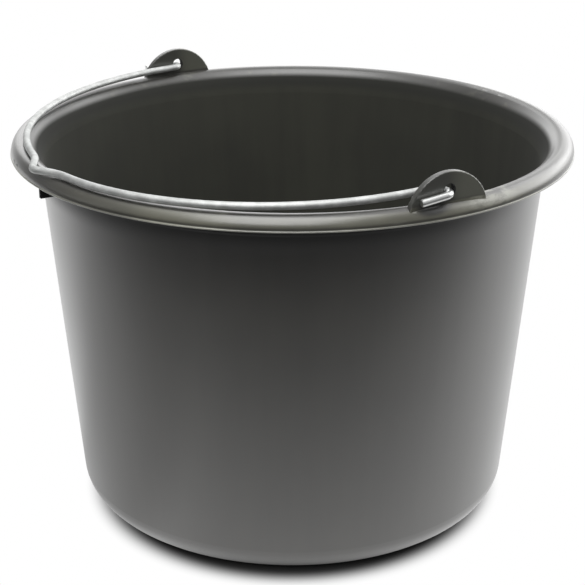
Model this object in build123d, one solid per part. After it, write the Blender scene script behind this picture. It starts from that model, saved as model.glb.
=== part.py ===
from build123d import *
import os
from math import asin, cos, degrees, radians, sin

# Builder's bucket: a moulded plastic body with a rolled rim, and a wire bail hooked through two ears.
# Millimetres. The origin is the middle of the base on the floor, +Z is up, the ears stand at +X and -X,
# and the bail lies on the rim towards -Y, slid along its holes and swayed to one side.

# Moulded wall
WALL = 3.0
WALL_TAPER = 4.8             # lean of the wall, degrees from vertical
BASE_ROUND = 21.0            # outer radius where the wall turns into the base
FOOT_RING_WIDTH = 13.0       # flat ring that the bucket stands on
BASE_RECESS = 4.0            # how far the middle of the base is lifted off the floor
RECESS_RAMP = 10.0           # radial width of the ramp between the ring and the lifted middle
RECESS_ROUND = 4.0
GATE_RADIUS = 6.0            # moulding gate left under the middle of the base
GATE_HEIGHT = 1.2

# Rolled rim
RIM_RADIUS = 200.0           # outside of the bead, the widest part of the body
RIM_HEIGHT = 273.3           # top of the crown
CROWN_ROUND = 8.0            # radius of the crown, on its upper side
CROWN_TURN = 35.0            # degrees that the crown's round reaches over on the inside
THROAT_ROUND = 23.7          # larger radius from there down into the wall, on the inside
SKIRT_STRAIGHT = 1.8         # upright part of the skirt, under the crown's round
BEAD_ROUND = 0.6
BEAD_PROUD = 0.5             # how far the bead stands out of the skirt

# Ears
EAR_ROUND = 30.0             # radius of the half-round top
EAR_CREST = 7.9              # material above the hole
EAR_THICK = 4.5
EAR_SETBACK = 5.0            # outer face, in from the widest part of the rim
EAR_EDGE_ROUND = 0.7
EAR_ROOT = 2.6               # how deep the ear is rooted in the crown, from its top

# Stop ribs under the rim
RIB_SETBACK = 7.5            # outer edge, in from the widest part of the rim
RIB_THICK = 3.0
RIB_DROP = 12.2              # below the edge of the skirt

# Wire bail
WIRE_RADIUS = 2.5
PIVOT_RISE = 6.2             # wire axis above the crown
HOLE_SLACK = 1.75            # hole radius beyond the wire's
PIVOT_GAP = 0.35             # under the wire, which lies low in the hole
EAR_GAP = 3.3                # between the ear's faces and the wire beside them, with the bail centred
BAIL_SLIDE = 2.3             # how far the bail has slid along its hinge line, towards -X
BAIL_SWAY = 3.6              # degrees that both arms lean towards +X
REST_GAP = 0.3               # between the crown and the wire that lies on it
HOOK_BEND = 4.5              # radius of the two bends of a hook
TAIL_LENGTH = 23.0           # from the pivot to the cut end of the hook
TAIL_DIP = 5.0               # degrees that the tail points below the arm
TAIL_CHAMFER = 0.5
ARM_STRAIGHT = 2.2           # from the hook's bend to the start of the half hoop
KINK_HEIGHT = 11.5           # tip of the V beyond its feet
KINK_LEAN = 3.0              # tip of the V off the middle of its feet, towards +X
KINK_HALF_WIDTH = 21.0
KINK_TIP_BEND = 7.0
KINK_FOOT_BEND = 45.0

# Worked out from the sizes above
SKIRT_RADIUS = RIM_RADIUS - BEAD_PROUD
CROWN_CENTRE_RADIUS = SKIRT_RADIUS - CROWN_ROUND
CROWN_CENTRE_HEIGHT = RIM_HEIGHT - CROWN_ROUND
SKIRT_EDGE = CROWN_CENTRE_HEIGHT - SKIRT_STRAIGHT
EAR_OUTSIDE = RIM_RADIUS - EAR_SETBACK
EAR_INSIDE = EAR_OUTSIDE - EAR_THICK
PIVOT_HEIGHT = RIM_HEIGHT + PIVOT_RISE
EAR_HOLE_RADIUS = WIRE_RADIUS + HOLE_SLACK
EAR_HOLE_HEIGHT = PIVOT_HEIGHT + HOLE_SLACK - PIVOT_GAP
EAR_TOP = EAR_HOLE_HEIGHT + EAR_HOLE_RADIUS + EAR_CREST
ARM_OFFSET = EAR_INSIDE - EAR_GAP - WIRE_RADIUS
TAIL_OFFSET = EAR_OUTSIDE + EAR_GAP + WIRE_RADIUS
PIN_LENGTH = TAIL_OFFSET - ARM_OFFSET - 2 * HOOK_BEND


def shell_outline():
    """Underside of the moulded wall: up the skirt, over the rim, down the wall and in along the base."""
    crown_under = CROWN_ROUND - WALL
    skirt_inside = SKIRT_RADIUS - WALL
    skirt = Line((skirt_inside, SKIRT_EDGE), (skirt_inside, CROWN_CENTRE_HEIGHT))
    crown = JernArc(skirt @ 1, skirt % 1, crown_under, 90 + CROWN_TURN)
    throat = JernArc(crown @ 1, crown % 1, THROAT_ROUND - WALL, 90 - CROWN_TURN - WALL_TAPER)
    wall_foot = BASE_ROUND * (1 - sin(radians(WALL_TAPER)))
    wall_length = ((throat @ 1).Y - wall_foot) / cos(radians(WALL_TAPER))
    wall = PolarLine(throat @ 1, wall_length, direction=throat % 1)
    corner = JernArc(wall @ 1, wall % 1, BASE_ROUND, WALL_TAPER - 90)
    ring_inside = (corner @ 1).X - FOOT_RING_WIDTH
    base = FilletPolyline(
        corner @ 1,
        (ring_inside, 0),
        (ring_inside - RECESS_RAMP, BASE_RECESS),
        (0, BASE_RECESS),
        radius=[RECESS_ROUND, RECESS_ROUND + WALL],
    )
    return Wire([skirt, crown, throat, wall, corner] + base.edges())


def moulded_shell():
    """The wall's section, an even thickness with a bead on its edge, turned about the axis."""
    section = make_face(shell_outline().offset_2d(WALL, side=Side.RIGHT).edges())
    section += Pos(RIM_RADIUS - BEAD_ROUND, SKIRT_EDGE + BEAD_ROUND) * Circle(BEAD_ROUND)
    section += Pos(GATE_RADIUS / 2, BASE_RECESS) * Rectangle(GATE_RADIUS, 2 * GATE_HEIGHT)
    return revolve(Plane.XZ * section, Axis.Z)


def ear():
    """Half-round plate at +X that stands on the crown."""
    foot = RIM_HEIGHT - EAR_ROOT
    above_foot = Pos(0, foot) * Rectangle(2 * EAR_ROUND, EAR_TOP, align=(Align.CENTER, Align.MIN))
    outline = Pos(0, EAR_TOP - EAR_ROUND) * Circle(EAR_ROUND) & above_foot
    plate = extrude(Plane.YZ.offset(EAR_INSIDE) * outline, EAR_THICK)
    return fillet(plate.edges().filter_by(GeomType.CIRCLE), EAR_EDGE_ROUND)


def ear_holes():
    """One drill through both ears."""
    drill = Plane.YZ * Pos(0, EAR_HOLE_HEIGHT) * Circle(EAR_HOLE_RADIUS)
    return extrude(drill, EAR_OUTSIDE + EAR_GAP, both=True)


def stop_rib(shell):
    """Upright rib at -Y that fills the corner under the rim, from the wall out."""
    foot = SKIRT_EDGE - RIB_DROP
    inside_crown = RIM_HEIGHT - WALL / 2
    outside = RIM_RADIUS - RIB_SETBACK
    block = Pos(0, -outside, foot) * Box(
        RIB_THICK,
        outside,
        inside_crown - foot,
        align=(Align.CENTER, Align.MIN, Align.MIN),
    )
    outer_pieces = (block - shell).solids().sort_by(Axis.Y)
    return outer_pieces[0]


def bucket_body():
    """The whole moulding."""
    shell = moulded_shell()
    half_turn = Rot(0, 0, 180)
    rib = stop_rib(shell)
    body = shell + [ear(), half_turn * ear(), rib, half_turn * rib]
    return body - ear_holes()


def hoop_radius(lean):
    """Radius of the half of the hoop whose arm leans out by this much, so that both halves meet on top."""
    outwards = sin(radians(lean))
    both_radii = 2 * (ARM_OFFSET + HOOK_BEND) / cos(radians(lean)) - 2 * HOOK_BEND
    return both_radii * (1 - outwards) / 2 - HOOK_BEND * outwards


def bail_half(lean):
    """Middle line of the half at +X, flat in XY: cut tail, pin through the ear, arm, and hoop to the kink."""
    radius = hoop_radius(lean)
    kink_angle = degrees(asin(KINK_HALF_WIDTH / radius))
    tail = Line((TAIL_OFFSET, -TAIL_LENGTH), (TAIL_OFFSET, -HOOK_BEND))
    tail_bend = JernArc(tail @ 1, tail % 1, HOOK_BEND, 90)
    pin = PolarLine(tail_bend @ 1, PIN_LENGTH, direction=tail_bend % 1)
    arm_bend = JernArc(pin @ 1, pin % 1, HOOK_BEND, 90 + lean)
    arm = PolarLine(arm_bend @ 1, ARM_STRAIGHT, direction=arm_bend % 1)
    hoop = JernArc(arm @ 1, arm % 1, radius, kink_angle - 90 - lean)
    dipped = [Rot(TAIL_DIP, 0, 0) * tail, Rot(TAIL_DIP, 0, 0) * tail_bend]
    return dipped + [pin, arm_bend], [arm, hoop]


def kinked_hoop(near_hoop, far_hoop):
    """Flat middle line from arm to arm, with the V between the two halves and its corners rounded."""
    near_foot = near_hoop[-1] @ 1
    far_foot = far_hoop[-1] @ 1
    tip = (near_foot + far_foot) / 2 + Vector(KINK_LEAN, -KINK_HEIGHT)
    curves = near_hoop + [Line(near_foot, tip), Line(tip, far_foot)] + far_hoop[::-1]
    path = Wire([edge for curve in curves for edge in curve.edges()])
    corners = path.vertices().filter_by(lambda corner: abs(corner.X) < ARM_OFFSET / 2)
    path = path.fillet_2d(KINK_FOOT_BEND, corners.sort_by(Axis.Y)[1:])
    return path.fillet_2d(KINK_TIP_BEND, [path.vertices().sort_by(Axis.Y)[0]])


def rest_dip():
    """Degrees below level at which the hoop lies on the crown."""
    rest_height = RIM_HEIGHT + REST_GAP + WIRE_RADIUS
    return degrees(asin((PIVOT_HEIGHT - rest_height) / CROWN_CENTRE_RADIUS))


def wire_bail():
    """Wire swept along hook, kinked hoop and hook, then laid on the rim."""
    near_hook, near_hoop = bail_half(BAIL_SWAY)
    far_hook, far_hoop = [[mirror(curve, Plane.YZ) for curve in part] for part in bail_half(-BAIL_SWAY)]
    curves = near_hook + [kinked_hoop(near_hoop, far_hoop)] + far_hook[::-1]
    path = Wire([edge for curve in curves for edge in curve.edges()])
    section = Plane(origin=path @ 0, z_dir=path % 0) * Circle(WIRE_RADIUS)
    wire = sweep(section, path=path)
    wire = chamfer(wire.faces().filter_by(GeomType.PLANE).edges(), TAIL_CHAMFER)
    return Pos(-BAIL_SLIDE, 0, PIVOT_HEIGHT) * Rot(rest_dip(), 0, 0) * wire


def build():
    os.makedirs("parts", exist_ok=True)
    export_step(bucket_body(), "parts/bucket_body.step")
    export_step(wire_bail(), "parts/wire_bail.step")


build()
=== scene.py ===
from math import cos, pi, radians, sin

import bpy
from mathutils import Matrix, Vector

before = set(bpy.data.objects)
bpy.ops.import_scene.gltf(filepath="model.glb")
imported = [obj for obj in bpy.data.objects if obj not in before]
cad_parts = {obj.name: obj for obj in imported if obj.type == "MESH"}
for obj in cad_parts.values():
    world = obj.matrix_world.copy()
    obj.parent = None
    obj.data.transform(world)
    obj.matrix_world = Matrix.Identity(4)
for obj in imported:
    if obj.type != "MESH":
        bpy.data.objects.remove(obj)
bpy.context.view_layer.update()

UP = (0, 0, 1)

# Camera, in metres and degrees: on a circle round the bucket, looking down past the rim
CAMERA_AZIMUTH = 60.5
CAMERA_DISTANCE = 1.050
CAMERA_HEIGHT = 0.565
CAMERA_PITCH = 21.752
CAMERA_LENS = 92.98
SENSOR_WIDTH = 36.0

# Softboxes: degrees round from the camera to its right, degrees up, metres from the rim,
# width and height in metres, and radiance
RIM_MIDDLE = Vector((0, 0, 0.27))
SOFTBOXES = {
    "key_overhead": (-11, 60, 1.60, 1.25, 2.20, 3.2),
    "panel_right": (112, 27, 1.30, 1.50, 0.90, 1.5),
    "panel_left": (-163, 20, 1.30, 0.90, 0.70, 0.8),
    "backdrop": (136, 9, 2.00, 2.40, 0.80, 1.0),
}

# World: a weak fill, and a white studio whose mirrored room is dim in front and at the back left.
# The edges of the dim parts are cosines to their middles
FILL_STRENGTH = 0.25
ROOM_STRENGTH = 0.25
ROOM_FRONT_EDGE = (-0.2, 0.5)
ROOM_LEFT_MIDDLE = (-118, 23)
ROOM_LEFT_EDGE = (0.72, 0.96)

# Floor: white, lit near the bucket so that it keeps its shade and a contact shadow painted into
# its colour round the foot, and fading towards the dark room in front as the glossy plastic sees
# it
FLOOR_SIZE = 12.0
FLOOR_WHITE = (0.9, 0.9, 0.9, 1)
FLOOR_GREY = (0.10, 0.10, 0.10, 1)
# painted contact shadow: the paper's colour at the foot
FLOOR_PAINTED_SHADOW = (0.03, 0.03, 0.03, 1)
SHADOW_EDGE = (0.1345, 0.161)          # radius, from darkest to none
SHADOW_CURVE = 1.6
SHADOW_SHIFT = 0.016                   # how much further it reaches in front and behind
SHADOW_SHIFT_CURVE = 1.6
MIRROR_EDGE = (0.128, 0.150)           # the same radius as mirrored in the wall
FADE_EDGE = (0.15, 0.54)               # distance in front of the bucket's axis
FADE_SIDE = 0.45                       # how much nearer the fade comes at the sides
FADE_LEAST = 0.05
FADE_DIM = 0.68                        # dimmer sector on the left
FADE_DIM_TURN = -74
FADE_DIM_EDGE = (0.78, 0.97)


def studio_direction(turn, rise):
    """Unit vector given by degrees round from the camera to its right, and degrees up."""
    around = radians(CAMERA_AZIMUTH + turn)
    flat = cos(radians(rise))
    return Vector((sin(around) * flat, -cos(around) * flat, sin(radians(rise))))


TO_CAMERA = studio_direction(0, 0)


class Graph:
    """Short hand for building a node tree."""

    def __init__(self, tree):
        self.tree = tree
        self.nodes = tree.nodes

    def feed(self, socket, value):
        if isinstance(value, bpy.types.NodeSocket):
            self.tree.links.new(value, socket)
        else:
            socket.default_value = value

    def add(self, kind, inputs=None, **settings):
        node = self.nodes.new(kind)
        for name, value in settings.items():
            setattr(node, name, value)
        for socket, value in (inputs or {}).items():
            self.feed(node.inputs[socket], value)
        return node

    def math(self, operation, first, second=0.0, third=0.0):
        node = self.add("ShaderNodeMath", {0: first, 1: second, 2: third}, operation=operation)
        return node.outputs[0]

    def absolute(self, value):
        return self.math("ABSOLUTE", value)

    def product(self, first, *others):
        for other in others:
            first = self.math("MULTIPLY", first, other)
        return first

    def largest(self, first, *others):
        for other in others:
            first = self.math("MAXIMUM", first, other)
        return first

    def scaled_sum(self, value, scale, added):
        return self.math("MULTIPLY_ADD", value, scale, added)

    def vector(self, x=0.0, y=0.0, z=0.0):
        return self.add("ShaderNodeCombineXYZ", {0: x, 1: y, 2: z}).outputs[0]

    def vector_math(self, operation, first, second=(0, 0, 0)):
        inputs = {0: first, 1: second}
        return self.add("ShaderNodeVectorMath", inputs, operation=operation).outputs

    def dot(self, first, second):
        return self.vector_math("DOT_PRODUCT", first, second)["Value"]

    def length(self, vector):
        return self.vector_math("LENGTH", vector)["Value"]

    def distance(self, vector, point):
        return self.vector_math("DISTANCE", vector, point)["Value"]

    def normalize(self, vector):
        return self.vector_math("NORMALIZE", vector)["Vector"]

    def cross(self, first, second):
        return self.vector_math("CROSS_PRODUCT", first, second)["Vector"]

    def difference(self, first, second):
        return self.vector_math("SUBTRACT", first, second)["Vector"]

    def stretch(self, vector, scales):
        return self.vector_math("MULTIPLY", vector, scales)["Vector"]

    def scale(self, vector, amount):
        inputs = {0: vector, "Scale": amount}
        return self.add("ShaderNodeVectorMath", inputs, operation="SCALE").outputs["Vector"]

    def ramp(self, value, edge, ends=(0.0, 1.0), kind="SMOOTHSTEP"):
        """Goes from the first of the ends to the second as the value crosses the edge."""
        inputs = {"Value": value, "From Min": edge[0], "From Max": edge[1]}
        inputs.update({"To Min": ends[0], "To Max": ends[1]})
        return self.add("ShaderNodeMapRange", inputs, interpolation_type=kind).outputs["Result"]

    def switch(self, factor, first, second):
        """The first value where the factor is 0 and the second where it is 1."""
        return self.ramp(factor, (0.0, 1.0), (first, second), "LINEAR")

    def blend(self, factor, first, second):
        """The same for colours."""
        node = self.add("ShaderNodeMix", data_type="RGBA")
        self.feed(node.inputs[0], factor)
        self.feed(node.inputs[6], first)
        self.feed(node.inputs[7], second)
        return node.outputs[2]

    def noise(self, vector, scale, detail=3.0, roughness=0.5):
        inputs = {"Vector": vector, "Scale": scale, "Detail": detail, "Roughness": roughness}
        return self.add("ShaderNodeTexNoise", inputs).outputs["Fac"]

    def bump(self, height, distance, strength=1.0, normal=None):
        inputs = {"Height": height, "Distance": distance, "Strength": strength}
        if normal is not None:
            inputs["Normal"] = normal
        return self.add("ShaderNodeBump", inputs).outputs["Normal"]

    def object_place(self):
        return self.add("ShaderNodeTexCoord").outputs["Object"]

    def parts(self, vector):
        return self.add("ShaderNodeSeparateXYZ", {0: vector}).outputs

    def seen_rays(self):
        """The camera's rays alone, and those with the glossy and transmitted ones added."""
        path = self.add("ShaderNodeLightPath").outputs
        camera = path["Is Camera Ray"]
        return camera, self.largest(path["Is Glossy Ray"], path["Is Transmission Ray"], camera)


def new_material(name):
    material = bpy.data.materials.new(name)
    material.use_nodes = True
    return material, Graph(material.node_tree), material.node_tree.nodes["Principled BSDF"]


def add_camera():
    lens = bpy.data.cameras.new("photo_camera")
    lens.lens = CAMERA_LENS
    lens.sensor_width = SENSOR_WIDTH
    camera = bpy.data.objects.new("photo_camera", lens)
    camera.location = TO_CAMERA * CAMERA_DISTANCE + Vector((0, 0, CAMERA_HEIGHT))
    camera.rotation_euler = (radians(90 - CAMERA_PITCH), 0, radians(CAMERA_AZIMUTH))
    bpy.context.scene.collection.objects.link(camera)
    bpy.context.scene.camera = camera


def add_softbox(name, turn, rise, distance, width, height, radiance):
    lamp = bpy.data.lights.new(name, "AREA")
    lamp.shape = "RECTANGLE"
    lamp.size = width
    lamp.size_y = height
    lamp.energy = radiance * width * height * pi
    softbox = bpy.data.objects.new(name, lamp)
    outward = studio_direction(turn, rise)
    softbox.location = RIM_MIDDLE + outward * distance
    softbox.rotation_mode = "QUATERNION"
    softbox.rotation_quaternion = (-outward).to_track_quat("-Z", "Y")
    bpy.context.scene.collection.objects.link(softbox)


def add_world():
    """White as seen and mirrored, dimmer where the mirrored room would be, and a weak fill."""
    world = bpy.data.worlds.new("studio")
    world.use_nodes = True
    bpy.context.scene.world = world
    graph = Graph(world.node_tree)
    camera, seen = graph.seen_rays()
    direction = graph.add("ShaderNodeTexCoord").outputs["Generated"]
    to_left = graph.dot(direction, studio_direction(*ROOM_LEFT_MIDDLE))
    front = graph.ramp(graph.dot(direction, TO_CAMERA), ROOM_FRONT_EDGE, (1.0, ROOM_STRENGTH))
    left = graph.ramp(to_left, ROOM_LEFT_EDGE, (1.0, ROOM_STRENGTH))
    shown = graph.largest(graph.product(front, left), camera)
    background = graph.nodes["Background"]
    background.inputs["Color"].default_value = (1, 1, 1, 1)
    graph.feed(background.inputs["Strength"], graph.switch(seen, FILL_STRENGTH, shown))


def floor_material():
    """White paper that glows for the camera and in mirrors, but not near the foot, where it takes
    the bucket's shade and a contact shadow painted into its colour.
    """
    material, graph, shader = new_material("floor_white")
    shader.inputs["Roughness"].default_value = 1.0
    place = graph.object_place()
    camera, seen = graph.seen_rays()

    around = graph.normalize(place)
    along_view = graph.absolute(graph.dot(around, TO_CAMERA))
    along_view = graph.math("POWER", along_view, SHADOW_SHIFT_CURVE)
    off_foot = graph.scaled_sum(along_view, -SHADOW_SHIFT, graph.length(place))
    # a contact shadow painted into the paper's colour round the foot, reaching further in front
    # and behind
    painted_shadow = graph.math("POWER", graph.ramp(off_foot, SHADOW_EDGE), SHADOW_CURVE)
    open_floor = graph.switch(camera, graph.ramp(off_foot, MIRROR_EDGE), painted_shadow)

    side = graph.dot(place, studio_direction(90, 0))
    forward = graph.scaled_sum(graph.product(side, side), FADE_SIDE, graph.dot(place, TO_CAMERA))
    fade = graph.ramp(forward, FADE_EDGE, (1.0, FADE_LEAST), "LINEAR")
    to_dim = graph.dot(around, studio_direction(FADE_DIM_TURN, 0))
    fade = graph.product(fade, graph.ramp(to_dim, FADE_DIM_EDGE, (1.0, FADE_DIM)))

    paper = graph.blend(fade, FLOOR_GREY, FLOOR_WHITE)
    graph.feed(shader.inputs["Base Color"], graph.blend(painted_shadow, FLOOR_PAINTED_SHADOW, paper))
    glow = graph.add("ShaderNodeEmission", {"Strength": graph.largest(fade, camera)})
    surface = graph.add("ShaderNodeMixShader", {0: graph.product(seen, open_floor)})
    graph.feed(surface.inputs[1], shader.outputs[0])
    graph.feed(surface.inputs[2], glow.outputs[0])
    graph.feed(graph.nodes["Material Output"].inputs["Surface"], surface.outputs[0])
    return material


def add_floor():
    mesh = bpy.data.meshes.new("floor")
    half = FLOOR_SIZE / 2
    corners = [(-half, -half, 0), (half, -half, 0), (half, half, 0), (-half, half, 0)]
    mesh.from_pydata(corners, [], [(0, 1, 2, 3)])
    mesh.materials.append(floor_material())
    floor = bpy.data.objects.new("floor", mesh)
    bpy.context.scene.collection.objects.link(floor)


# Plastic: dark olive-grey polyethylene
PLASTIC_DARK = (0.0238, 0.0229, 0.0190, 1)
PLASTIC_LIGHT = (0.0352, 0.0337, 0.0280, 1)
# ears: a lighter copy of the body's plastic, which is painted light, darker on the side where the
# hook lies
PLASTIC_EAR_PAINTED_LIGHT = (0.077, 0.079, 0.060, 1)
PLASTIC_EAR_HOOK_SIDE = (0.030, 0.031, 0.024, 1)
PLASTIC_DULL = (0.0235, 0.0240, 0.0172, 1)
PLASTIC_FILM = (0.0330, 0.0338, 0.0240, 1)
# painted shade on the upward-facing throat, which the lamp lights more than the wall below
PLASTIC_THROAT_SHADE = (0.0130, 0.0135, 0.0100, 1)
# painted shade: under the rim, down the outer wall, in the front corner, the ears' holes and at
# the ears' feet
PLASTIC_SHADE = (0.0020, 0.0020, 0.0018, 1)
# paler: a painted highlight on the crown's front shoulder, and real scuffs
PLASTIC_SCUFF_AND_HIGHLIGHT = (0.135, 0.133, 0.098, 1)
# paler still: the scuffed spot, and a painted highlight along the bead under the skirt
PLASTIC_PALE_SCUFF_AND_HIGHLIGHT = (0.30, 0.30, 0.25, 1)
PLASTIC_SPECULAR = 0.85
COAT_ROUGH = 0.28
COAT_IOR = 1.6

# Roughness, and what is added to it
PLASTIC_ROUGH = 0.31
CLOUD_ROUGH = 0.10
GRAIN_ROUGH = 0.05
SCUFF_ROUGH = 0.10
EAR_ROUGH = 0.12

# Noises that mottle the plastic, and their shares in its tone
CLOUD_SCALE = 16.0
CLOUD_SHARE = 0.55
STREAK_SCALE = 95.0
STREAK_STRETCH = (1, 1, 0.05)
STREAK_SHARE = 0.35
GRAIN_SCALE = 1500.0
GRAIN_DETAIL = 2.0
GRAIN_SHARE = 0.25
FLECK_SCALE = 70.0
FLECK_STRETCH = (1, 1, 2.5)
FLECK_DETAIL = 6.0
FLECK_ROUGH = 0.62
PLASTIC_TONE = (0.35, 0.80)            # tones that are darkest and lightest
FILM_TONE = (0.38, 0.76)
CLOUD_EDGE = (0.30, 0.65)

# Surface: a slow waviness of the moulding and a fine orange peel, depths in metres
WAVE_SCALE = 11.0
WAVE_DETAIL = 1.0
WAVE_DEPTH = 0.0003
PEEL_DEPTH = 0.00002
PEEL_STRENGTH = 0.5

# Which way a face looks, from where a patch starts to where it is full: cosines
FACING_OUT = (0.0, 0.2)
FACING_IN = (-0.55, -0.70)
FACING_UP_FLOOR = (0.2, 0.4)
FACING_UP_THROAT = (0.15, 0.45)
FACING_OUT_SHOULDER = (0.40, 0.72)
FACING_ROUND = (0.10, 0.05)            # more than this isn't the mesh's seam but a real side

# Soft edges on the body, in metres, from where a patch starts to where it is full
TIDE_HEIGHT = (0.2672, 0.2682)         # tide line of the mortar in the throat, lowest and highest
TIDE_EDGE = (0.002, -0.002)
TIDE_LOW_PLACE = -0.5                  # cosine to the camera
TIDE_SLANT = (0.0, 0.45)
FLOOR_INSIDE_EDGE = (0.20, 0.15)
THROAT_FOOT = (0.20, 0.24)
# painted shade on the outer wall under the rim, and in the corner above it
SHADE_FOOT = (0.185, 0.245)            # shade on the outer wall
SHADE_MOST = 0.40
CORNER_FOOT = (0.238, 0.255)           # painted shade in the corner above it, at the front left
CORNER_TURN = -35
CORNER_SIDES = (-0.2, 0.5)
CORNER_MOST = 0.55
OUTER_WALL_TOP = (0.2630, 0.2605)
BEYOND_WALL = (0.1815, 0.1835)         # radius
FLARE_FOOT = (0.2515, 0.2575)
UNDER_RIM_FOOT = (0.236, 0.246)
UNDER_RIM_TOP = (0.2634, 0.2628)
RIM_FOOT = (0.2650, 0.2675)
RIM_TOP = (0.2745, 0.2735)
TURNED_TOP = (0.2730, 0.2720)          # above it the ears stand
EAR_FOOT = (0.2735, 0.2755)
BEAD_RADIUS = (0.1990, 0.1996)
BEAD_TOP = (0.2655, 0.2648)
BEAD_LEAST = 0.4

# Ears: the hole, the darker side where the hook's tail lies, and the painted shade at their feet
EAR_HOLE_HEIGHT = 0.2809
EAR_HOLE_EDGE = (0.0048, 0.0044)
HOOK_SIDE_EDGE = (-0.004, 0.012)
EAR_SHADE_PLACE = (0.1970, -0.0130, 0.2725)
EAR_SHADE_STRETCH = (1, 0.4, 1)
EAR_SHADE_EDGE = (0.0065, 0.0030)
EAR_SHADE_MOST = 0.95

# On the crown: a painted highlight along the front of the shoulder, and wear: scattered scuffs and
# one scuffed spot
SHOULDER_TURN = 10
SHOULDER_EDGE = (0.35, 0.90)
SHOULDER_LEAST = 0.6
SCUFF_FLECKS = (0.56, 0.70)
SCUFF_MOST = 0.4
SPOT_PLACE = (0.191, 0.034, 0.2705)
SPOT_EDGE = (0.030, 0.010)
SPOT_FLECKS = (0.42, 0.60)
SPOT_MOST = 0.65


class Body:
    """Where a point of the plastic lies, which way it faces, and the noises that mottle it."""

    def __init__(self, graph):
        self.place = graph.object_place()
        parts = graph.parts(self.place)
        self.x, self.y, self.height = parts["X"], parts["Y"], parts["Z"]
        flat = graph.vector(self.x, self.y)
        self.radius = graph.length(flat)
        self.outward = graph.normalize(flat)
        self.normal = graph.add("ShaderNodeNewGeometry").outputs["Normal"]
        self.facing_out = graph.dot(self.normal, self.outward)
        self.facing_up = graph.dot(self.normal, UP)

        self.clouds = graph.noise(self.place, CLOUD_SCALE)
        self.grain = graph.noise(self.place, GRAIN_SCALE, GRAIN_DETAIL)
        streaked = graph.stretch(self.place, STREAK_STRETCH)
        flecked = graph.stretch(self.place, FLECK_STRETCH)
        self.flecks = graph.noise(flecked, FLECK_SCALE, FLECK_DETAIL, FLECK_ROUGH)
        tone = graph.product(graph.noise(streaked, STREAK_SCALE), STREAK_SHARE)
        tone = graph.scaled_sum(self.clouds, CLOUD_SHARE, tone)
        self.tone = graph.scaled_sum(self.grain, GRAIN_SHARE, tone)


def seamless_normal(graph, body):
    """A wall turned about the axis never faces round it, but the mesh's normals do at its seam."""
    sideways = graph.cross(UP, body.outward)
    facing_round = graph.dot(body.normal, sideways)
    turned = graph.product(
        graph.ramp(graph.absolute(facing_round), FACING_ROUND),
        graph.ramp(body.height, TURNED_TOP),
    )
    excess = graph.scale(sideways, graph.product(facing_round, turned))
    return graph.normalize(graph.difference(body.normal, excess))


def inside_mask(graph, body):
    """Wall up to the mortar's slanting tide line in the throat, and the floor of the bucket."""
    off_low = graph.math("SUBTRACT", graph.dot(body.outward, TO_CAMERA), TIDE_LOW_PLACE)
    tide = graph.ramp(graph.absolute(off_low), TIDE_SLANT, TIDE_HEIGHT)
    below_tide = graph.ramp(graph.math("SUBTRACT", body.height, tide), TIDE_EDGE)
    wall = graph.product(graph.ramp(body.facing_out, FACING_IN), below_tide)
    low = graph.ramp(body.height, FLOOR_INSIDE_EDGE)
    return graph.largest(wall, graph.product(graph.ramp(body.facing_up, FACING_UP_FLOOR), low))


def hidden_mask(graph, body):
    """Underside of the rim and the ears' holes, which get painted shade and no gloss."""
    flare = graph.product(
        graph.ramp(body.facing_out, FACING_OUT),
        graph.ramp(body.height, FLARE_FOOT),
    )
    under_rim = graph.largest(graph.ramp(body.radius, BEYOND_WALL), flare)
    above_foot = graph.ramp(body.height, UNDER_RIM_FOOT)
    below_top = graph.ramp(body.height, UNDER_RIM_TOP)
    over_pivot = graph.math("SUBTRACT", body.height, EAR_HOLE_HEIGHT)
    off_pivot = graph.length(graph.vector(y=body.y, z=over_pivot))
    return graph.largest(
        graph.product(under_rim, above_foot, below_top),
        graph.ramp(off_pivot, EAR_HOLE_EDGE),
    )


def plain_colour(graph, body, inside):
    """Cloudy, with faint upright flow streaks and a fine grain, ears in a painted lighter tone
    that is darker on the hook's side, and a film inside with painted shade on the throat.
    """
    colour = graph.blend(graph.ramp(body.tone, PLASTIC_TONE), PLASTIC_DARK, PLASTIC_LIGHT)
    # painted light: the ears lighter than the body, less so on the side where the hook lies
    ear_painted_light = graph.blend(graph.ramp(body.y, HOOK_SIDE_EDGE), PLASTIC_EAR_HOOK_SIDE, PLASTIC_EAR_PAINTED_LIGHT)
    colour = graph.blend(graph.ramp(body.height, EAR_FOOT), colour, ear_painted_light)
    film = graph.blend(graph.ramp(body.tone, FILM_TONE), PLASTIC_DULL, PLASTIC_FILM)
    # painted shade: the throat faces up and catches more light, so its colour is darkened
    throat_shade = graph.product(
        graph.ramp(body.facing_up, FACING_UP_THROAT),
        graph.ramp(body.height, THROAT_FOOT),
    )
    return graph.blend(inside, colour, graph.blend(throat_shade, film, PLASTIC_THROAT_SHADE))


def highlight_and_scuff_colour(graph, body, colour, on_rim, scuffs):
    """A painted highlight along the front of the crown's shoulder, scattered scuffs and one paler
    spot.
    """
    to_front = graph.dot(body.outward, studio_direction(SHOULDER_TURN, 0))
    # painted highlight: the crown's shoulder paler only on the side towards the camera and key
    # lamp
    shoulder_highlight = graph.product(
        graph.ramp(body.facing_out, FACING_OUT_SHOULDER),
        on_rim,
        graph.ramp(to_front, SHOULDER_EDGE),
        graph.ramp(body.clouds, CLOUD_EDGE, (SHOULDER_LEAST, 1.0)),
    )
    scuff_and_highlight = graph.largest(shoulder_highlight, graph.product(scuffs, SCUFF_MOST))
    colour = graph.blend(scuff_and_highlight, colour, PLASTIC_SCUFF_AND_HIGHLIGHT)
    spot = graph.product(
        graph.ramp(graph.distance(body.place, SPOT_PLACE), SPOT_EDGE),
        on_rim,
        graph.ramp(body.flecks, SPOT_FLECKS),
        SPOT_MOST,
    )
    return graph.blend(spot, colour, PLASTIC_PALE_SCUFF_AND_HIGHLIGHT)


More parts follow.
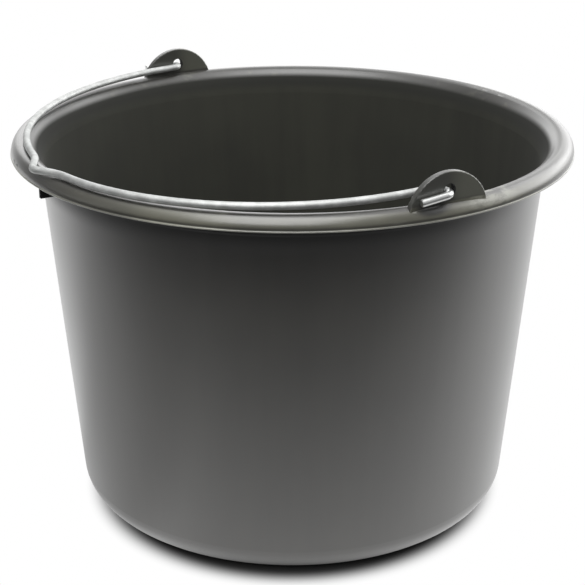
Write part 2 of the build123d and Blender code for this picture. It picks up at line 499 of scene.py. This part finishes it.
def painted_shade_and_highlight(graph, body, colour, hidden, outer_wall, corner_shade):
    """Painted shade on the outer wall, in the corner under the rim, on the rim's underside, in the
    ears' holes and at the ears' feet, then a painted highlight along the bead.
    """
    shade = graph.product(graph.ramp(body.height, SHADE_FOOT, (0.0, SHADE_MOST)), outer_wall)
    either_ear = graph.vector(graph.absolute(body.x), body.y, body.height)
    off_ear = graph.stretch(graph.difference(either_ear, EAR_SHADE_PLACE), EAR_SHADE_STRETCH)
    shade = graph.largest(
        graph.math("ADD", shade, corner_shade),
        hidden,
        graph.ramp(graph.length(off_ear), EAR_SHADE_EDGE, (0.0, EAR_SHADE_MOST)),
    )
    colour = graph.blend(shade, colour, PLASTIC_SHADE)
    # painted highlight: a pale line along the bead, where the edge catches light
    bead = graph.product(
        graph.ramp(body.radius, BEAD_RADIUS),
        graph.ramp(body.height, BEAD_TOP),
        graph.ramp(body.clouds, CLOUD_EDGE, (BEAD_LEAST, 1.0)),
    )
    return graph.blend(bead, colour, PLASTIC_PALE_SCUFF_AND_HIGHLIGHT)


def plastic_material():
    material, graph, shader = new_material("body_plastic")
    body = Body(graph)
    inside = inside_mask(graph, body)
    hidden = hidden_mask(graph, body)
    outer_wall = graph.product(
        graph.ramp(body.facing_out, FACING_OUT),
        graph.ramp(body.height, OUTER_WALL_TOP),
    )
    to_corner = graph.dot(body.outward, studio_direction(CORNER_TURN, 0))
    corner_shade = graph.product(
        graph.ramp(body.height, CORNER_FOOT, (0.0, CORNER_MOST)),
        outer_wall,
        graph.ramp(to_corner, CORNER_SIDES),
    )
    dulled = graph.largest(inside, hidden, corner_shade)
    glossy = graph.math("SUBTRACT", 1.0, dulled)
    on_rim = graph.product(
        graph.ramp(body.height, RIM_FOOT),
        graph.ramp(body.height, RIM_TOP),
        glossy,
    )
    scuffs = graph.product(graph.ramp(body.flecks, SCUFF_FLECKS), on_rim)

    colour = plain_colour(graph, body, inside)
    colour = highlight_and_scuff_colour(graph, body, colour, on_rim, scuffs)
    colour = painted_shade_and_highlight(graph, body, colour, hidden, outer_wall, corner_shade)
    graph.feed(shader.inputs["Base Color"], colour)

    # gloss: none where mortar has dulled it inside, nor under the rim, in the front corner and in
    # the ears' holes, where shade is painted
    rough = graph.scaled_sum(body.clouds, CLOUD_ROUGH, PLASTIC_ROUGH)
    rough = graph.scaled_sum(body.grain, GRAIN_ROUGH, rough)
    rough = graph.scaled_sum(scuffs, SCUFF_ROUGH, rough)
    rough = graph.math("ADD", rough, graph.ramp(body.height, EAR_FOOT, (0.0, EAR_ROUGH)))
    graph.feed(shader.inputs["Roughness"], graph.switch(dulled, rough, 1.0))
    graph.feed(shader.inputs["Coat Weight"], glossy)
    shader.inputs["Specular IOR Level"].default_value = PLASTIC_SPECULAR
    shader.inputs["Coat Roughness"].default_value = COAT_ROUGH
    shader.inputs["Coat IOR"].default_value = COAT_IOR

    # surface: waves and orange peel in the plastic, under an even coat
    seamless = seamless_normal(graph, body)
    waves = graph.noise(body.place, WAVE_SCALE, WAVE_DETAIL)
    waved = graph.bump(waves, WAVE_DEPTH, normal=seamless)
    peeled = graph.bump(body.grain, PEEL_DEPTH, PEEL_STRENGTH, waved)
    graph.feed(shader.inputs["Normal"], peeled)
    graph.feed(shader.inputs["Coat Normal"], seamless)
    return material


# Wire: bright zinc plating, in soft patches of tone and gloss, rubbed bright on the tails of the
# hooks, which lie outside the ears
ZINC_DARK = (0.54, 0.55, 0.54, 1)
ZINC_LIGHT = (0.71, 0.72, 0.71, 1)
ZINC_RUBBED = (0.82, 0.83, 0.82, 1)
ZINC_TONE = (0.35, 0.7)
TAIL_EDGE = (0.1910, 0.1965)           # distance from the bucket's middle, along the hinge line
PATCH_SCALE = 120.0
PATCH_DETAIL = 4.0
PATCH_NOISE_ROUGH = 0.6
ZINC_GRAIN_SCALE = 1800.0
ZINC_GRAIN_DEPTH = 0.00003
ZINC_GRAIN_STRENGTH = 0.6
ZINC_ROUGH = 0.50
PATCH_ROUGH = 0.16
ZINC_GRAIN_ROUGH = 0.08
TAIL_ROUGH = -0.28


def wire_material():
    material, graph, shader = new_material("bail_wire")
    place = graph.object_place()
    patches = graph.noise(place, PATCH_SCALE, PATCH_DETAIL, PATCH_NOISE_ROUGH)
    grain = graph.noise(place, ZINC_GRAIN_SCALE, GRAIN_DETAIL)
    tail = graph.ramp(graph.absolute(graph.parts(place)["X"]), TAIL_EDGE)
    colour = graph.blend(graph.ramp(patches, ZINC_TONE), ZINC_DARK, ZINC_LIGHT)
    graph.feed(shader.inputs["Base Color"], graph.blend(tail, colour, ZINC_RUBBED))
    shader.inputs["Metallic"].default_value = 1.0
    rough = graph.scaled_sum(patches, PATCH_ROUGH, ZINC_ROUGH)
    rough = graph.scaled_sum(grain, ZINC_GRAIN_ROUGH, rough)
    graph.feed(shader.inputs["Roughness"], graph.scaled_sum(tail, TAIL_ROUGH, rough))
    grained = graph.bump(grain, ZINC_GRAIN_DEPTH, ZINC_GRAIN_STRENGTH)
    graph.feed(shader.inputs["Normal"], grained)
    return material


def dress(node, material):
    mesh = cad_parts[node].data
    mesh.materials.clear()
    mesh.materials.append(material)


add_camera()
add_world()
for name, settings in SOFTBOXES.items():
    add_softbox(name, *settings)
add_floor()
dress("bucket_body", plastic_material())
dress("wire_bail", wire_material())

bpy.context.scene.view_settings.view_transform = "Standard"
